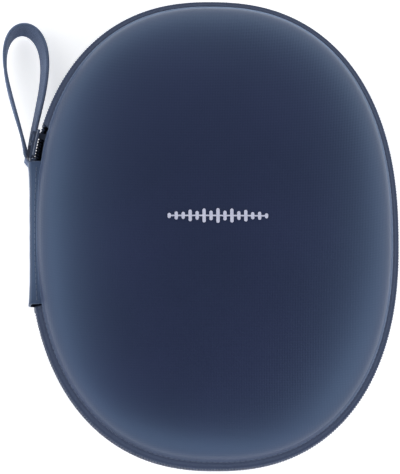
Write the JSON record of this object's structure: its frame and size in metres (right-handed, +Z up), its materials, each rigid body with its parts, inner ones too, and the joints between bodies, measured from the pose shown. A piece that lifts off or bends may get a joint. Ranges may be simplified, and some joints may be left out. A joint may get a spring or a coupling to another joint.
{
  "type": "headphone carrying case",
  "caption": "Oval hard-shell zipped clamshell case for over-ear headphones, with a soft fabric hinge, a strap carry loop, a lined inside with a cushion and a net pocket.",
  "frame": {"origin": "centre of the flat underside", "axes": "+Z up through the lid, +Y along the length towards the end that the carry loop reaches, +X away from the soft hinge"},
  "size_m": [0.1811, 0.218, 0.0586],
  "materials": {
    "cover_fabric": "smooth navy polyurethane-coated fabric with a fine weave",
    "shell_foam": "moulded EVA foam board",
    "lining": "short-pile velour",
    "webbing": "woven polyester webbing",
    "zipper_tape": "woven zipper tape",
    "zipper_coil": "moulded nylon coil",
    "slider_metal": "painted zinc casting",
    "grip_rubber": "moulded rubber",
    "mesh": "knitted net",
    "mark_print": "raised soft print"
  },
  "bodies": {
    "base": {"base_cover": "cover_fabric", "base_shell": "shell_foam", "base_lining": "lining", "base_zipper_tape": "zipper_tape", "base_zipper_coil": "zipper_coil", "base_end_stop": "slider_metal", "base_binding": "webbing", "spine_panel": "cover_fabric", "spine_lining": "lining", "loop_anchor": "webbing", "divider_pad": "lining"},
    "lid": {"lid_cover": "cover_fabric", "lid_shell": "shell_foam", "lid_lining": "lining", "lid_zipper_tape": "zipper_tape", "lid_zipper_coil": "zipper_coil", "lid_end_stop": "slider_metal", "lid_binding": "webbing", "pocket_mesh": "mesh", "pocket_binding": "webbing", "pocket_elastic": "webbing", "lid_emblem": "mark_print"},
    "slider": {"slider_body": "slider_metal", "slider_crown": "slider_metal"},
    "pull": {"pull_tab": "slider_metal", "pull_grip": "grip_rubber"},
    "loop": {"carry_loop": "webbing"}
  },
  "joints": [
    {"name": "lid_hinge", "type": "hinge", "parent": "base", "child": "lid", "pos_m": [-0.0846, 0, 0.02925], "axis": [0, -1, 0], "range_deg": [0, 180], "deforming": ["spine_panel", "spine_lining"]},
    {"name": "slider_travel", "type": "hinge", "parent": "base", "child": "slider", "pos_m": [0.01534, 0.02196, 0.02925], "axis": [0, 0, -1], "range_deg": [0, 26]},
    {"name": "pull_swing", "type": "hinge", "parent": "slider", "child": "pull", "pos_m": [-0.08199, 0.04599, 0.02925], "axis": [0, 0, -1], "range_deg": [0, 165]},
    {"name": "loop_swing", "type": "hinge", "parent": "base", "child": "loop", "pos_m": [-0.0844, 0.0365, 0.019], "axis": [0, 0, 1], "range_deg": [-6, 12]}
  ]
}
